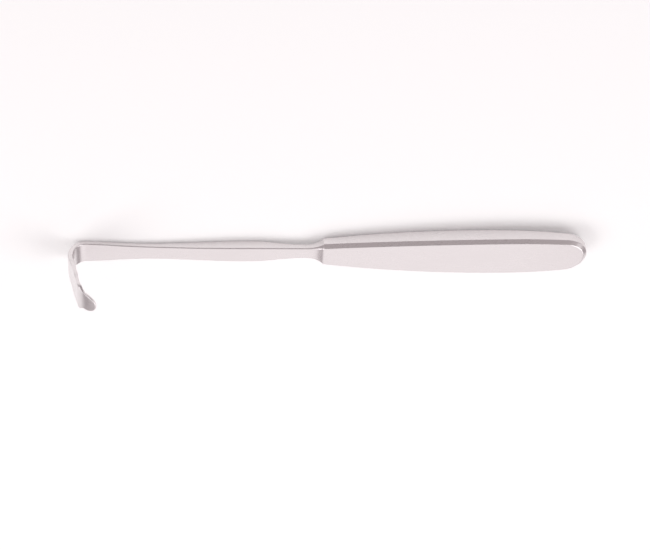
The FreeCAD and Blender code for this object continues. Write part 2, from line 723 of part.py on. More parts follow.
def strip_edges(shape):
    """Names the strip's long edges, where its side outline meets a trimmed wall."""
    profile = [face for face in shape.Faces if is_profile(face)]
    names = []
    for number, edge in enumerate(shape.Edges, start=1):
        faces = [f for f in profile if any(edge.isSame(e) for e in f.Edges)]
        at_neck = all(abs(vertex.X - SIZE["neck_place"]) < TOUCH for vertex in edge.Vertexes)
        if len(faces) == 1 and not at_neck:
            names.append(f"Edge{number}")
    return names


def make_strip(doc):
    """The shaft and the blade: a bent bar trimmed from above, from the front and along the lip."""
    body = doc.addObject("PartDesign::Body", "Strip")
    bar = body.newObject("PartDesign::Pad", "StripBar")
    bar.Profile = strip_side(body)
    bar.Midplane = True
    bind(bar, "Length", f"[blade_width] + {TRIM}")
    doc.recompute()
    trims = [
        ("PlanTrim", plan_trim, f"[bend_radius] * {2 * SPLIT}"),
        ("FrontTrim", front_trim, f"2 * ([reach] + {TRIM})"),
        ("TongueTrim", tongue_trim, f"2 * ([lip_thickness] + {TRIM})"),
    ]
    for name, outline, length in trims:
        trim = body.newObject("PartDesign::Pocket", name)
        trim.Profile = outline(body)
        trim.Midplane = True
        bind(trim, "Length", length)
        doc.recompute()
        trimmed = mirrored(body, trim, f"{name}Mirrored")
        doc.recompute()
    soft = body.newObject("PartDesign::Fillet", "StripEdges")
    soft.Base = (trimmed, strip_edges(trimmed.Shape))
    bind(soft, "Radius", EDGE)
    doc.recompute()
    return body


def lay_down(body):
    """Places the body at rest, on the handle's belly and the back of the bend."""
    bow = "(([handle_thickness] - [handle_end_thickness]) / 2)"
    crown = f"([handle_length]^2 / 4 + {bow}^2) / (2 * {bow})"
    run = "([reach] - [bend_radius] + [handle_length] / 2)"
    bend_height = "([bend_radius] - [strip_thickness] / 2)"
    drop = f"({crown} - [handle_thickness] / 2 - {bend_height})"
    pitch = f"(asin(({crown} - [bend_radius]) / hypot({run}; {drop})) - atan2({drop}; {run}))"
    bend_place = "([reach] - [bend_radius])"
    front = f"({bend_place} * cos({pitch}) + {bend_height} * sin({pitch}) + [bend_radius])"
    back_edge = "([handle_end_thickness] / 2 - [bevel])"
    back = f"([handle_length] * cos({pitch}) + {back_edge} * sin({pitch}))"
    body.Placement = FreeCAD.Placement(FreeCAD.Vector(), FreeCAD.Rotation(AXIS_Y, 1))
    bind(body, "Placement.Rotation.Angle", pitch)
    bind(body, "Placement.Base.x", f"({back} - {front}) / 2")
    lift = f"[bend_radius] + {bend_place} * sin({pitch}) - {bend_height} * cos({pitch})"
    bind(body, "Placement.Base.z", lift)


def check(doc, body):
    """Stops if anything failed to build."""
    failed = [o.Name for o in doc.Objects if {"Invalid", "Error"} & set(o.State)]
    if failed:
        sys.exit(f"failed to build: {', '.join(failed)}")
    shape = body.Shape
    if shape.isNull() or not shape.isValid() or len(shape.Solids) != 1:
        sys.exit("the retractor isn't one valid solid")


def main():
    doc = FreeCAD.newDocument("Retractor")
    make_sheet(doc)
    body = doc.addObject("PartDesign::Body", "Body")
    body.Label = NODE
    make_handle(doc, body)
    make_cove(doc, body)
    join = body.newObject("PartDesign::Boolean", "WholeForging")
    join.Type = "Fuse"
    join.setObjects([make_strip(doc)])
    doc.recompute()
    lay_down(body)
    doc.recompute()
    check(doc, body)
    os.makedirs(PARTS_FOLDER, exist_ok=True)
    body.Shape.exportStep(os.path.join(PARTS_FOLDER, f"{body.Label}.step"))
    box = body.Shape.BoundBox
    print(f"{body.Label}: {box.XLength:.2f} x {box.YLength:.2f} x {box.ZLength:.2f} mm")
    print(f"low {box.ZMin:.3f}, middle {box.Center.x:.3f}, volume {body.Shape.Volume:.0f} mm3")


main()
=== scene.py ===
"""A handheld surgical retractor in satin steel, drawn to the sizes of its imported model.

The blank is drawn flat along +X from the handle's nose to the tip of the tongue, with its bevels,
its edges are softened, and it is then folded at the bend and at the lip and laid down at rest.
"""

import math
from typing import NamedTuple

import bmesh
import bpy
from bpy.props import FloatProperty, FloatVectorProperty, IntProperty, PointerProperty
from mathutils import Matrix, Vector


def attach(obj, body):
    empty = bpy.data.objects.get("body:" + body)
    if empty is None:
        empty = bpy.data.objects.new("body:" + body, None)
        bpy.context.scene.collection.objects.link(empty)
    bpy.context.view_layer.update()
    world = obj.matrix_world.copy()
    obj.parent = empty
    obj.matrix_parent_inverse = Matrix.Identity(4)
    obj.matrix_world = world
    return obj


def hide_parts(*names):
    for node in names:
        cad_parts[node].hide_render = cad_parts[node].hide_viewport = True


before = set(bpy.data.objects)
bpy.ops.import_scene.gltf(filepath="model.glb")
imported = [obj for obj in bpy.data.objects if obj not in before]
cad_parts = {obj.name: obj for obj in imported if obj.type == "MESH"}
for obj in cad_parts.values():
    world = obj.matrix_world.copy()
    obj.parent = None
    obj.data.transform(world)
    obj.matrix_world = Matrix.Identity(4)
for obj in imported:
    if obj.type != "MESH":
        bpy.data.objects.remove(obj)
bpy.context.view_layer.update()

bl_info = {
    "name": "Surgical Retractor",
    "version": (1, 0, 0),
    "blender": (4, 5, 0),
    "location": "View3D > Sidebar > Retractor",
    "description": "Models a handheld surgical retractor in satin steel and sets it on a studio floor",
    "category": "Add Mesh",
}

NODE = "retractor"
PIECE = "retractor_forging"

# The name of the attribute that keeps each point's place on the flat blank.
BLANK = "blank"

# Up to this share of the bend's radius the width is read from above, and past it from the front.
SPLIT = 0.55

# Rounding a turn of 45 degrees takes this share of the radius off the face on each side of it.
CORNER = math.tan(math.pi / 8)

# Points that lie closer than this share of the polish are merged after it.
MERGED = 0.05

# The noise is spread out between these values, which nearly all of it lies between.
NOISE_LOW, NOISE_HIGH = 0.3, 0.7


def length(name, description, millimetres):
    """A size that a user may change, given in millimetres."""
    return FloatProperty(
        name=name, description=description, default=millimetres / 1000, min=0.0, precision=5,
        subtype="DISTANCE", unit="LENGTH",
    )


def angle(name, description, degrees):
    """An angle that a user may change, given in degrees."""
    return FloatProperty(name=name, description=description, default=math.radians(degrees), subtype="ANGLE")


def share(name, description, value):
    """A share between none and all."""
    return FloatProperty(
        name=name, description=description, default=value, min=0.0, max=1.0, subtype="FACTOR"
    )


def colour(name, description, value):
    """A plain colour, as a linear value."""
    return FloatVectorProperty(
        name=name, description=description, default=value, min=0.0, max=1.0, subtype="COLOR", size=3
    )


class RetractorHandle(bpy.types.PropertyGroup):
    """The flat paddle that the hand holds."""

    run: length("Length", "From the mouth to the end of the nose", 109.8)
    mouth_width: length("Mouth width", "Width where the shaft enters", 12.9)
    belly_width: length("Belly width", "Widest place", 21.8)
    belly_place: length("Belly place", "Distance of the widest place from the mouth", 76.3)
    nose_radius: length("Nose radius", "Rounding of the end, seen from above", 9.6)
    thickness: length("Thickness", "Half way along", 8.0)
    end_thickness: length("End thickness", "At the mouth and at the nose", 5.74)
    bevel: length("Bevel", "Between the broad faces and the narrow sides", 1.4)


class RetractorShaft(bpy.types.PropertyGroup):
    """The slim shaft, from the cove at the handle's mouth to the strip of the blade."""

    cove_share: share("Cove share", "How much of a quarter ellipse the cove follows", 0.9)
    neck_place: length("Neck place", "The slimmest place, from the mouth", 7.5)
    neck_width: length("Neck width", "Width at the neck", 6.3)
    neck_thickness: length("Neck thickness", "Thickness at the neck", 2.5)
    swell_place: length("Swell place", "The shaft's swell, from the mouth", 31.0)
    swell_width: length("Swell width", "Width at the swell", 8.7)
    swell_thickness: length("Swell thickness", "Thickness at the swell", 4.26)
    waist_place: length("Waist place", "Where the shaft starts to widen again", 66.0)
    waist_width: length("Waist width", "Width at the waist", 7.7)
    strip_run: length("Strip run", "Plain strip between the shaft and the bend", 15.8)
    flare_back: length("Flare back", "How far inside the reach the strip has its full width", 2.7)
    flare_share: share("Flare share", "Where the flare's side turns from hollow to full", 0.6)


class RetractorBlade(bpy.types.PropertyGroup):
    """The bend, the blade and the lip with its tongue."""

    reach: length("Reach", "Outermost point of the blade's back, from the mouth", 105.3)
    strip_thickness: length("Strip thickness", "Thickness through the bend", 1.95)
    bend_width: length("Bend width", "Width in the bend", 11.5)
    bend_radius: length("Bend radius", "Outer radius of the bend", 7.5)
    bend_turn: angle("Bend turn", "The blade leans back over the shaft", 105.0)
    blade_run: length("Blade run", "Straight run of the blade's back", 14.8)
    blade_width: length("Blade width", "Widest place of the blade", 16.6)
    widest_drop: length("Widest drop", "How far below the crease the widest place lies", 4.8)
    crease_width: length("Crease width", "Width where the lip turns inwards", 15.2)
    crease_thickness: length("Crease thickness", "Thickness where the lip turns", 1.35)
    lip_radius: length("Lip radius", "Inner radius of the lip's turn", 0.9)
    lip_turn: angle("Lip turn", "Turn of the lip at the crease", 18.0)
    lip_run: length("Lip run", "Length of the lip, straight from its turn to its tip", 9.4)
    lip_curl: angle("Lip curl", "How far the lip curls on up to its tip", 38.0)
    lip_thickness: length("Lip thickness", "Thickness at the tip", 1.06)
    tongue_width: length("Tongue width", "Width of the lip's round tongue", 10.2)
    tongue_share: share("Tongue share", "Where the tongue's side turns from hollow to full", 0.42)


class RetractorFinish(bpy.types.PropertyGroup):
    """How finely the forging is drawn and how its steel is finished."""

    straight_step: length("Straight step", "Distance of the sections along the handle and the shaft", 2.0)
    blade_step: length("Blade step", "Distance of the sections along the cove, the blade and the lip", 0.7)
    round_steps: IntProperty(
        name="Round steps", description="Sections in a quarter turn of a round outline", default=12, min=4
    )
    fold_steps: IntProperty(
        name="Fold steps", description="Folds in a quarter turn of the bend or the lip", default=18, min=6
    )
    polish: length("Polish", "Radius of the softened edges, which makes those of the strip round", 0.42)
    polish_steps: IntProperty(name="Polish steps", description="Facets of a softened edge", default=3, min=1)
    polish_angle: angle("Polish angle", "Edges that turn less than this stay as they are", 30.0)
    steel: colour("Steel", "Colour of the metal", (0.80, 0.77, 0.77))
    worn_steel: colour("Worn steel", "Colour where it is handled most", (0.776, 0.743, 0.747))
    roughness: share("Roughness", "How matt the satin is", 0.305)
    brush_contrast: share("Brush contrast", "How far the brush marks change the roughness", 0.05)
    patch_contrast: share("Patch contrast", "How far the patches change the roughness", 0.025)
    brush_strength: share("Brush strength", "How strongly the brush marks catch the light", 0.12)
    brush_height: length("Brush height", "Height of the brush marks", 0.006)
    brush_run: length("Brush run", "Length of the finest brush marks", 7.2)
    brush_width: length("Brush width", "Width of the finest brush marks", 0.12)
    patch_run: length("Patch run", "Length of the patches of uneven satin", 25.0)
    patch_width: length("Patch width", "Width of the patches of uneven satin", 8.333)


class RetractorStage(bpy.types.PropertyGroup):
    """The floor, the light and the camera."""

    azimuth: angle("Azimuth", "Where the camera stands round the retractor", 4.9)
    elevation: angle("Elevation", "How far the camera looks down", 38.1)
    roll: angle("Roll", "The photograph is taken nearly upside down", 176.0)
    distance: length("Distance", "From the camera to the point that it looks at", 1124.0)
    lens: FloatProperty(name="Lens", description="Focal length in millimetres", default=150.0, min=1.0)
    aim: FloatVectorProperty(
        name="Aim", description="The point in the middle of the picture", default=(0.0016, 0.0061, 0.0109),
        subtype="TRANSLATION", unit="LENGTH", precision=5,
    )
    floor: colour("Floor", "Colour of the white floor", (0.97, 0.97, 0.97))
    lift: share("Lift", "How far the floor is lifted to white where it is seen", 0.17)
    floor_size: length("Floor size", "Side of the floor", 8000.0)
    skirting: colour("Skirting", "Light from level with the floor", (0.264, 0.228, 0.24))
    wall: colour("Wall", "Light from the height at which the bevels mirror the room", (0.516, 0.456, 0.468))
    wall_height: share("Wall height", "Height of that light, from none at the floor to one overhead", 0.7)
    ceiling: colour("Ceiling", "Light from overhead", (0.36, 0.336, 0.336))


class Section(NamedTuple):
    """One cross-section of the flat blank, with bevelled corners.

    The fold lies half way from the last section. The lean is the turn of the blank's outline from
    straight across to where it faces along the blank, as at the end of a nose.
    """

    along: float
    half_width: float
    thickness: float
    bevel: float
    fold: float = 0.0
    lean: float = 0.0


def wave(along, start, end, turn=0.5):
    """Height between two level places, on two arcs that meet at this share of the way."""
    if along <= start[0]:
        return start[1]
    if along >= end[0]:
        return end[1]
    run, rise = end[0] - start[0], end[1] - start[1]
    whole = (run**2 + rise**2) / (2 * abs(rise))
    up = math.copysign(1, rise)
    if along - start[0] <= turn * run:
        radius = turn * whole
        return start[1] + up * (radius - math.sqrt(radius**2 - (along - start[0]) ** 2))
    radius = (1 - turn) * whole
    return end[1] - up * (radius - math.sqrt(radius**2 - (end[0] - along) ** 2))


def waves(along, places, turns):
    """Height on a chain of waves between level places."""
    for start, end, turn in zip(places, places[1:], turns):
        if along <= end[0]:
            return wave(along, start, end, turn)
    return places[-1][1]


def evenly(start, end, step):
    """Places from start to end, about a step apart, without the start."""
    count = max(1, round(abs(end - start) / step))
    return [start + (end - start) * number / count for number in range(1, count + 1)]


def crown(handle):
    """Radius of the long arc that crowns each broad face of the handle."""
    bow = (handle.thickness - handle.end_thickness) / 2
    return (handle.run**2 / 4 + bow**2) / (2 * bow)


def handle_thickness(handle, along):
    """The handle is crowned along its length, on both broad faces."""
    radius = crown(handle)
    from_middle = along + handle.run / 2
    return handle.thickness - 2 * (radius - math.sqrt(radius**2 - from_middle**2))


def handle_sections(handle, finish):
    """Sections from the round nose over the belly to the mouth."""
    belly, nose = handle.belly_width / 2, handle.nose_radius
    nose_centre = handle.nose_radius - handle.run
    to_nose = -handle.belly_place - nose_centre
    back_radius = (to_nose**2 + belly**2 - nose**2) / (2 * (belly - nose))
    round_end = math.pi / 2 - math.asin(to_nose / (back_radius - nose))
    rise = belly - handle.mouth_width / 2
    front_radius = (handle.belly_place**2 + rise**2) / (2 * rise)

    outline = []
    for number in range(finish.round_steps):
        turned = round_end * (number + 0.5) / finish.round_steps
        place = nose_centre - nose * math.cos(turned)
        outline.append((place, nose * math.sin(turned), turned - math.pi / 2))
    for along in evenly(outline[-1][0], 0.0, finish.straight_step):
        radius = back_radius if along < -handle.belly_place else front_radius
        from_belly = along + handle.belly_place
        lean = math.asin(from_belly / radius)
        outline.append((along, belly - radius + radius * math.cos(lean), lean))
    sections = []
    for along, half_width, lean in outline:
        thickness = handle_thickness(handle, along - handle.bevel * math.sin(lean))
        sections.append(Section(along, half_width, thickness, handle.bevel, lean=lean))
    return sections


def opening(shaft, along):
    """How far the cove has opened from the neck, at none, to the handle's mouth, at one."""
    way = shaft.cove_share * (1 - along / shaft.neck_place)
    return (1 - math.sqrt(1 - way**2)) / (1 - math.sqrt(1 - shaft.cove_share**2))


def round_bevel(finish):
    """The bevel that the softening of its two edges makes round."""
    return finish.polish * (1 - CORNER)


def plan_width(shaft, blade, along):
    """Half the width of the shaft and the bend, seen from above."""
    places = [
        (shaft.neck_place, shaft.neck_width / 2),
        (shaft.swell_place, shaft.swell_width / 2),
        (shaft.waist_place, shaft.waist_width / 2),
        (blade.reach - shaft.flare_back, blade.bend_width / 2),
    ]
    return waves(along, places, [0.5, 0.5, shaft.flare_share])


def shaft_sections(handle, shaft, blade, finish):
    """Sections from the cove over the swell and the waist to the start of the bend."""
    bend_place = blade.reach - blade.bend_radius
    depths = [
        (shaft.neck_place, shaft.neck_thickness),
        (shaft.swell_place, shaft.swell_thickness),
        (bend_place - shaft.strip_run, blade.strip_thickness),
    ]
    bevel = round_bevel(finish)
    sections = []
    for along in evenly(0.0, shaft.neck_place, finish.blade_step):
        opened = opening(shaft, along)
        half = shaft.neck_width / 2 + (handle.mouth_width - shaft.neck_width) / 2 * opened
        thick = shaft.neck_thickness + (handle.end_thickness - shaft.neck_thickness) * opened
        sections.append(Section(along, half, thick, bevel + (handle.bevel - bevel) * opened))
    for along in evenly(shaft.neck_place, bend_place, finish.straight_step):
        half = plan_width(shaft, blade, along)
        sections.append(Section(along, half, waves(along, depths, [0.5, 0.5]), bevel))
    return sections


def heading(turned):
    """The direction of a stretch that has turned up by this angle, and the one to its left."""
    return Vector((math.cos(turned), math.sin(turned))), Vector((-math.sin(turned), math.cos(turned)))


def bearing(start, end):
    """The direction from one point to another, as an angle."""
    return math.atan2(end.y - start.y, end.x - start.x)


def crossing(first, first_radius, second, second_radius):
    """Where two circles meet, on the left of the way from the first centre to the second."""
    apart = (second - first).length
    way = (apart**2 + first_radius**2 - second_radius**2) / (2 * apart)
    along, left = heading(bearing(first, second))
    return first + along * way + left * math.sqrt(first_radius**2 - way**2)


class BladeLine(NamedTuple):
    """The middle line of the bend, the blade and the lip, as turns, radii and straight runs."""

    bend_turn: float
    bend_radius: float
    blade_run: float
    lip_turn: float
    lip_radius: float
    curl_turn: float
    curl_radius: float
    crease_height: float


def blade_line(blade):
    """Finds the middle line between the blade's two faces, measured from the middle of the bend.

    It is tangent to circles round the middles of the bend, of the lip's turn and of its curl.
    """
    lip_outer = blade.lip_radius + blade.crease_thickness
    along, left = heading(blade.bend_turn)
    lip_centre = left * (lip_outer - blade.bend_radius) + along * blade.blade_run
    lip_turned = blade.bend_turn + blade.lip_turn
    curl_outer = blade.lip_run / (2 * math.sin(blade.lip_curl / 2))
    curl_middle = lip_centre + heading(lip_turned)[1] * (curl_outer - lip_outer)
    tip_left = heading(lip_turned + blade.lip_curl)[1]
    tip = curl_middle - tip_left * (curl_outer - blade.lip_thickness / 2)

    bend_radius = blade.bend_radius - blade.strip_thickness / 2
    lip_radius = blade.lip_radius + blade.crease_thickness / 2
    lean = math.asin((bend_radius - lip_radius) / lip_centre.length)
    bend_turn = bearing(Vector((0, 0)), lip_centre) + lean
    curl_radius = curl_outer - blade.crease_thickness / 2
    curl_centre = crossing(lip_centre, curl_radius - lip_radius, tip, curl_radius)
    curl_from = bearing(curl_centre, lip_centre)
    return BladeLine(
        bend_turn=bend_turn,
        bend_radius=bend_radius,
        blade_run=lip_centre.length * math.cos(lean),
        lip_turn=curl_from + math.pi / 2 - bend_turn,
        lip_radius=lip_radius,
        curl_turn=bearing(curl_centre, tip) - curl_from,
        curl_radius=curl_radius,
        crease_height=bend_radius + lip_centre.y - blade.lip_radius,
    )


def tongue_outline(blade, finish):
    """The lip's outline as distances along it, half widths and leans: a wave and a round nose."""
    nose = blade.tongue_width / 2
    neck = blade.lip_run - nose
    start, end = (0.0, blade.crease_width / 2), (neck, nose)
    outline = [
        (way, wave(way, start, end, blade.tongue_share), 0.0)
        for way in evenly(0.0, neck, finish.blade_step)
    ]
    step = math.pi / 2 / finish.round_steps
    turns = [step * number for number in range(1, finish.round_steps)] + [math.pi / 2 - step / 2]
    outline += [(neck + nose * math.sin(turn), nose * math.cos(turn), turn) for turn in turns]
    return outline


class Walk:
    """Walks along the middle line of the bent strip and notes the sections of its flat blank."""

    def __init__(self, along, bevel):
        self.along, self.bevel = along, bevel
        self.place = Vector((along, 0.0))
        self.turned, self.fold = 0.0, 0.0
        self.sections = []

    def go(self, run, fold=0.0):
        """Goes a stretch that folds half way."""
        self.place += (heading(self.turned)[0] + heading(self.turned + fold)[0]) * (run / 2)
        self.turned += fold
        self.along += run
        self.fold = fold

    def turn(self, fold, radius):
        """Goes one stretch of a round bend."""
        self.go(2 * radius * math.tan(fold / 2), fold)

    def note(self, half_width, thickness, lean=0.0):
        """Notes the section at the place that the walk has reached."""
        self.sections.append(Section(self.along, half_width, thickness, self.bevel, self.fold, lean))


def blade_sections(shaft, blade, finish):
    """Sections round the bend, up the blade, round the lip's turn and along its curled tongue."""
    line = blade_line(blade)
    walk = Walk(blade.reach - blade.bend_radius, round_bevel(finish))
    split = blade.bend_radius * SPLIT
    front = [
        (split, blade.bend_width / 2),
        (line.crease_height - blade.widest_drop, blade.blade_width / 2),
        (line.crease_height, blade.crease_width / 2),
    ]

    def width():
        """Half the width at the walk's place: seen from above at first, and then from the front."""
        if walk.place.y < split:
            return plan_width(shaft, blade, walk.place.x)
        return waves(walk.place.y, front, [0.5, 0.5])

    def folds(turn):
        """Equal folds that add up to a turn."""
        count = math.ceil(turn / (math.pi / 2) * finish.fold_steps)
        return [turn / count] * count

    for fold in folds(line.bend_turn):
        walk.turn(fold, line.bend_radius)
        walk.note(width(), blade.strip_thickness)
    stretches = round(line.blade_run / finish.blade_step)
    for number in range(1, stretches + 1):
        walk.go(line.blade_run / stretches)
        thinned = (blade.strip_thickness - blade.crease_thickness) * number / stretches
        walk.note(width(), blade.strip_thickness - thinned)
    for fold in folds(line.lip_turn):
        walk.turn(fold, line.lip_radius)
        walk.note(width(), blade.crease_thickness)

    turned = 0.0
    for way, half_width, lean in tongue_outline(blade, finish):
        reached = way / blade.lip_run
        now = line.curl_turn / 2 + math.asin((2 * reached - 1) * math.sin(line.curl_turn / 2))
        walk.turn(now - turned, line.curl_radius)
        thinned = (blade.crease_thickness - blade.lip_thickness) * reached
        walk.note(half_width, blade.crease_thickness - thinned, lean)
        turned = now
    return walk.sections


def deselect_all():
    """Starts an operator's selection from nothing."""
    if bpy.context.mode != "OBJECT":
        bpy.ops.object.mode_set(mode="OBJECT")
    bpy.ops.object.select_all(action="DESELECT")


def make_active(piece):
    """Selects one object alone and makes it the one that operators act on."""
    deselect_all()
    piece.select_set(True)
    bpy.context.view_layer.objects.active = piece


def place_corners(corners, along, half_width, half_height):
    """Moves four corners of the drawn end, one in each quarter of it, to their place and size."""
    bpy.ops.mesh.select_all(action="DESELECT")
    for corner in corners:
        corner.select_set(True)
    now = corners[0].co
    bpy.ops.transform.translate(value=(along - now.x, 0, 0))
    bpy.ops.transform.resize(
        value=(1, half_width / abs(now.y), half_height / abs(now.z)), center_override=(along, 0, 0)
    )


def shape_end(data, section):
    """Gives the selected end its section: the sides' four corners, and the broad faces' four."""
    mesh = bmesh.from_edit_mesh(data)
    corners = sorted((vertex for vertex in mesh.verts if vertex.select), key=lambda v: abs(v.co.z))
    half_height = section.thickness / 2
    place_corners(corners[:4], section.along, section.half_width, half_height - section.bevel)
    rim = section.along - section.bevel * math.sin(section.lean)
    place_corners(corners[4:], rim, section.half_width - section.bevel * math.cos(section.lean), half_height)
    for corner in corners:
        corner.select_set(True)
    mesh.select_flush_mode()


def draw_blank(sections):
    """Draws the flat blank: an end of three faces, extruded to each section and shaped there.

    The middle face is as high as the narrow sides, and the two others are as high as the bevels.
    """
    deselect_all()
    bpy.ops.mesh.primitive_grid_add(
        size=1, x_subdivisions=3, y_subdivisions=1, location=(sections[0].along, 0, 0),
        rotation=(0, math.pi / 2, 0),
    )
    blank = bpy.context.object
    blank.name = blank.data.name = PIECE
    bpy.ops.object.transform_apply(location=True, rotation=True)
    bpy.ops.object.mode_set(mode="EDIT")
    bpy.ops.mesh.select_all(action="SELECT")
    shape_end(blank.data, sections[0])
    for last, section in zip(sections, sections[1:]):
        bpy.ops.mesh.extrude_region_move(
            TRANSFORM_OT_translate={"value": (section.along - last.along, 0, 0)}
        )
        shape_end(blank.data, section)
    bpy.ops.mesh.select_all(action="SELECT")
    bpy.ops.mesh.normals_make_consistent(inside=False)
    bpy.ops.object.mode_set(mode="OBJECT")
    return blank


def polish(blank, finish):
    """Softens every edge at which the blank turns clearly, and merges points that then meet."""
    make_active(blank)
    modifier = blank.modifiers.new("Polish", "BEVEL")
    modifier.limit_method = "ANGLE"
    modifier.angle_limit = finish.polish_angle
    modifier.width = finish.polish * CORNER
    modifier.segments = finish.polish_steps
    modifier.use_clamp_overlap = False
    modifier.loop_slide = False
    bpy.ops.object.modifier_apply(modifier=modifier.name)
    bpy.ops.object.mode_set(mode="EDIT")
    bpy.ops.mesh.select_all(action="SELECT")
    bpy.ops.mesh.remove_doubles(threshold=finish.polish * MERGED)
    bpy.ops.object.mode_set(mode="OBJECT")


def keep_blank_places(blank):
    """Stores where each point lies on the flat blank, for the brush marks that follow the metal."""
    mesh = blank.data
    kept = mesh.attributes.new(BLANK, "FLOAT_VECTOR", "POINT")
    for item, vertex in zip(kept.data, mesh.vertices):
        item.vector = vertex.co


def fold(blank, sections):
    """Folds the flat blank up between sections, from the bend to the lip.

    The rotate operator turns the other way with no window, so a fold up has a positive angle here.
    """
    make_active(blank)
    bpy.ops.object.mode_set(mode="EDIT")
    mesh = bmesh.from_edit_mesh(blank.data)
    flat = {vertex: vertex.co.x for vertex in mesh.verts}
    place, turned, done = Vector((0.0, 0.0, 0.0)), 0.0, 0.0
    for last, section in zip(sections, sections[1:]):
        if not section.fold:
            continue
        line = (last.along + section.along) / 2
        way = line - done
        place += Vector((math.cos(turned) * way, 0, math.sin(turned) * way))
        for vertex, along in flat.items():
            vertex.select_set(along > line)
        mesh.select_flush_mode()
        bmesh.update_edit_mesh(blank.data)
        bpy.ops.transform.rotate(value=section.fold, orient_axis="Y", center_override=place)
        turned += section.fold
        done = line
    bpy.ops.object.mode_set(mode="OBJECT")


def lay_down(blank, handle, blade):
    """Lays the retractor on the belly of its handle and the back of its bend, over the origin."""
    radius = crown(handle)
    run = blade.reach - blade.bend_radius + handle.run / 2
    drop = (radius - handle.thickness / 2) - (blade.bend_radius - blade.strip_thickness / 2)
    pitch = math.asin((radius - blade.bend_radius) / math.hypot(run, drop)) - math.atan2(drop, run)
    make_active(blank)
    blank.rotation_euler.y = pitch
    bpy.ops.object.transform_apply(rotation=True)
    low = Vector(min(vertex.co[axis] for vertex in blank.data.vertices) for axis in range(3))
    high = Vector(max(vertex.co[axis] for vertex in blank.data.vertices) for axis in range(3))
    blank.location = (-(low.x + high.x) / 2, 0, -low.z)
    bpy.ops.object.transform_apply(location=True)


class Nodes:
    """Adds shader nodes to a material or a world, and links them."""

    def __init__(self, owner):
        owner.use_nodes = True
        self.tree = owner.node_tree
        self.tree.nodes.clear()

    def add(self, kind, settings=None, **inputs):
        """Adds a node, sets its properties, and sets or links its inputs by name."""
        node = self.tree.nodes.new(kind)
        for name, value in (settings or {}).items():
            setattr(node, name, value)
        for name, value in inputs.items():
            socket = node.inputs[name.replace("_", " ")]
            if isinstance(value, bpy.types.NodeSocket):
                self.tree.links.new(value, socket)
            else:
                socket.default_value = value
        return node

    def math(self, operation, first, second):
        """Adds an operation on two linked values and gives its result."""
        node = self.tree.nodes.new("ShaderNodeMath")
        node.operation = operation
        self.tree.links.new(first, node.inputs[0])
        self.tree.links.new(second, node.inputs[1])
        return node.outputs["Value"]

    def noise(self, place, run, width, roughness):
        """Adds noise in marks of this length along the blank and this width across it."""
        marked = self.add("ShaderNodeMapping", Vector=place, Scale=(1 / run, 1 / width, 1 / width))
        noise = self.add(
            "ShaderNodeTexNoise", Vector=marked.outputs["Vector"], Scale=1.0, Detail=3.0,
            Roughness=roughness,
        )
        return noise.outputs["Fac"]

    def spread(self, value, low, high):
        """Adds a map that spreads noise out between two values."""
        spread = self.add(
            "ShaderNodeMapRange", Value=value, From_Min=NOISE_LOW, From_Max=NOISE_HIGH, To_Min=low,
            To_Max=high,
        )
        return spread.outputs["Result"]


def satin_steel(finish):
    """Stainless steel with a fine lengthwise satin, a soft unevenness and faint handling marks."""
    material = bpy.data.materials.new("satin_steel_brushed")
    nodes = Nodes(material)
    blank = nodes.add("ShaderNodeAttribute", {"attribute_name": BLANK}).outputs["Vector"]
    brushed = nodes.noise(blank, finish.brush_run, finish.brush_width, 0.6)
    handled = nodes.noise(blank, finish.patch_run, finish.patch_width, 0.55)
    satin = nodes.spread(
        brushed, finish.roughness - finish.brush_contrast, finish.roughness + finish.brush_contrast
    )
    matt = nodes.math("ADD", satin, nodes.spread(handled, -finish.patch_contrast, finish.patch_contrast))
    tone = nodes.add(
        "ShaderNodeMix", {"data_type": "RGBA"}, Factor=handled, A=(*finish.worn_steel, 1),
        B=(*finish.steel, 1),
    )
    bump = nodes.add(
        "ShaderNodeBump", Height=brushed, Strength=finish.brush_strength, Distance=finish.brush_height
    )
    shader = nodes.add(
        "ShaderNodeBsdfPrincipled", Base_Color=tone.outputs["Result"], Metallic=1.0, Roughness=matt,
        Normal=bump.outputs["Normal"],
    )
    nodes.add("ShaderNodeOutputMaterial", Surface=shader.outputs["BSDF"])
    return material


def white_floor(stage):
    """A white matt floor, lifted a little where the camera or the steel sees it."""
    material = bpy.data.materials.new("white_floor")
    nodes = Nodes(material)
    path = nodes.add("ShaderNodeLightPath").outputs
    mirrored = nodes.math("MAXIMUM", path["Is Glossy Ray"], path["Is Transmission Ray"])
    seen = nodes.math("MAXIMUM", path["Is Camera Ray"], mirrored)
    lift = nodes.add("ShaderNodeMapRange", Value=seen, To_Max=stage.lift)
    shader = nodes.add(
        "ShaderNodeBsdfPrincipled", Base_Color=(*stage.floor, 1), Roughness=0.9, Specular_IOR_Level=0.1,
        Emission_Color=(1, 1, 1, 1), Emission_Strength=lift.outputs["Result"],
    )
    nodes.add("ShaderNodeOutputMaterial", Surface=shader.outputs["BSDF"])
    return material


def studio_world(stage):
    """A dim, faintly warm room, which the polished edges and the bevels mirror."""
    world = bpy.data.worlds.new("studio")
    nodes = Nodes(world)
    way = nodes.add("ShaderNodeTexCoord").outputs["Generated"]
    height = nodes.add("ShaderNodeSeparateXYZ", Vector=way).outputs["Z"]
    room = nodes.add("ShaderNodeValToRGB", Fac=height)
    skirting, ceiling = room.color_ramp.elements
    skirting.color = (*stage.skirting, 1)
    ceiling.color = (*stage.ceiling, 1)
    room.color_ramp.elements.new(stage.wall_height).color = (*stage.wall, 1)
    light = nodes.add("ShaderNodeBackground", Color=room.outputs["Color"], Strength=1.0)
    nodes.add("ShaderNodeOutputWorld", Surface=light.outputs["Background"])
    return world


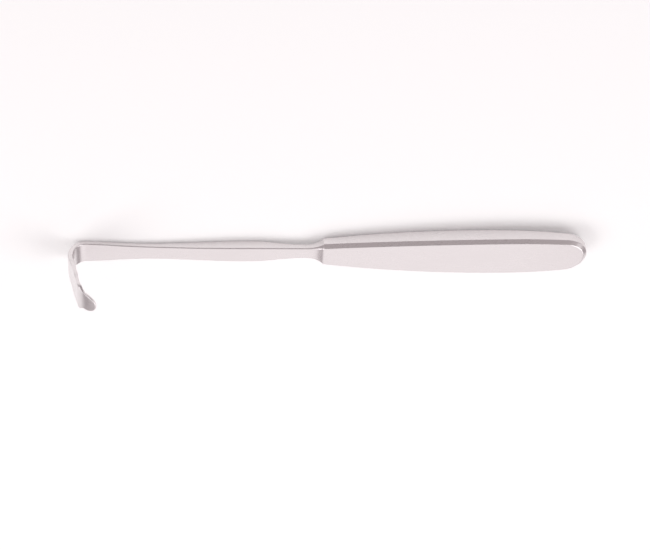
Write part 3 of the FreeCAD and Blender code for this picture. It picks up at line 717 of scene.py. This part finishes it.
class MakeForging(bpy.types.Operator):
    """Forges the retractor: draws the blank, softens its edges, folds it and lays it down."""

    bl_idname = "retractor.make_forging"
    bl_label = "Make Forging"

    def execute(self, context):
        scene = context.scene
        handle, shaft, blade = scene.retractor_handle, scene.retractor_shaft, scene.retractor_blade
        finish = scene.retractor_finish
        sections = handle_sections(handle, finish)
        sections += shaft_sections(handle, shaft, blade, finish)
        sections += blade_sections(shaft, blade, finish)
        blank = draw_blank(sections)
        polish(blank, finish)
        keep_blank_places(blank)
        fold(blank, sections)
        lay_down(blank, handle, blade)
        make_active(blank)
        bpy.ops.object.shade_smooth()
        modifier = blank.modifiers.new("Weighted Normal", "WEIGHTED_NORMAL")
        modifier.keep_sharp = False
        bpy.ops.object.modifier_apply(modifier=modifier.name)
        blank.data.materials.append(satin_steel(finish))
        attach(blank, "root")
        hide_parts(NODE)
        return {"FINISHED"}


class Softbox(NamedTuple):
    """A soft rectangular lamp that looks at the origin. Its sizes are in metres, its power in watts."""

    name: str
    place: tuple
    width: float
    height: float
    power: float


# The broad faces mirror the key light. The two others light the floor from both sides.
SOFTBOXES = [
    Softbox("key_light", (-0.04, 0.66, 0.52), 0.6, 0.55, 0.66),
    Softbox("left_light", (-0.85, 0.35, 0.95), 1.0, 0.9, 5.8),
    Softbox("right_light", (0.85, 0.35, 0.95), 1.0, 0.9, 5.8),
]


def hang(softbox):
    """Hangs a softbox and hides it from the camera."""
    bpy.ops.object.light_add(type="AREA", location=softbox.place)
    lamp = bpy.context.object
    lamp.name = lamp.data.name = softbox.name
    lamp.data.shape = "RECTANGLE"
    lamp.data.size, lamp.data.size_y = softbox.width, softbox.height
    lamp.data.energy = softbox.power
    lamp.rotation_euler = (-Vector(softbox.place)).to_track_quat("-Z", "Y").to_euler()
    lamp.visible_camera = False


class MakeStage(bpy.types.Operator):
    """Lays the floor, hangs the lamps and sets up the camera at the photograph's angle."""

    bl_idname = "retractor.make_stage"
    bl_label = "Make Stage"

    def execute(self, context):
        stage = context.scene.retractor_stage
        deselect_all()
        bpy.ops.mesh.primitive_plane_add(size=stage.floor_size)
        floor = context.object
        floor.name = floor.data.name = "floor"
        floor.data.materials.append(white_floor(stage))

        context.scene.world = studio_world(stage)
        for softbox in SOFTBOXES:
            hang(softbox)

        back, right, up = self.camera_axes(stage)
        bpy.ops.object.camera_add()
        camera = context.object
        camera.name = camera.data.name = "camera"
        turned = Matrix((right, up, back)).transposed().to_quaternion()
        camera.matrix_world = Matrix.LocRotScale(Vector(stage.aim) + back * stage.distance, turned, None)
        camera.data.lens = stage.lens
        context.scene.camera = camera
        context.scene.view_settings.view_transform = "Standard"
        return {"FINISHED"}

    @staticmethod
    def camera_axes(stage):
        """The camera's directions backwards, to the right and upwards."""
        turned, raised = stage.azimuth, stage.elevation
        back = Vector((
            math.sin(turned) * math.cos(raised), -math.cos(turned) * math.cos(raised), math.sin(raised)
        ))
        level = Vector((math.cos(turned), math.sin(turned), 0))
        upright = back.cross(level)
        right = level * math.cos(stage.roll) + upright * math.sin(stage.roll)
        return back, right, back.cross(right)


class RetractorPanel(bpy.types.Panel):
    """Lists the steps and the sizes in the 3D view's sidebar."""

    bl_label = "Retractor"
    bl_idname = "VIEW3D_PT_retractor"
    bl_space_type = "VIEW_3D"
    bl_region_type = "UI"
    bl_category = "Retractor"

    def draw(self, context):
        for operator in OPERATORS:
            self.layout.operator(operator.bl_idname)
        for name, group in GROUPS.items():
            box = self.layout.box()
            box.label(text=name.replace("_", " ").capitalize())
            settings = getattr(context.scene, name)
            for size in group.__annotations__:
                box.prop(settings, size)


GROUPS = {
    "retractor_handle": RetractorHandle,
    "retractor_shaft": RetractorShaft,
    "retractor_blade": RetractorBlade,
    "retractor_finish": RetractorFinish,
    "retractor_stage": RetractorStage,
}
OPERATORS = [MakeForging, MakeStage]
CLASSES = [*GROUPS.values(), *OPERATORS, RetractorPanel]


def register():
    """Registers the classes and hangs the settings on the scene."""
    for item in CLASSES:
        bpy.utils.register_class(item)
    for name, group in GROUPS.items():
        setattr(bpy.types.Scene, name, PointerProperty(type=group))


def unregister():
    """Takes the settings and the classes away again."""
    for name in GROUPS:
        delattr(bpy.types.Scene, name)
    for item in reversed(CLASSES):
        bpy.utils.unregister_class(item)


def main():
    """Builds the retractor and its stage."""
    register()
    bpy.ops.retractor.make_forging()
    bpy.ops.retractor.make_stage()


if __name__ == "__main__":
    main()
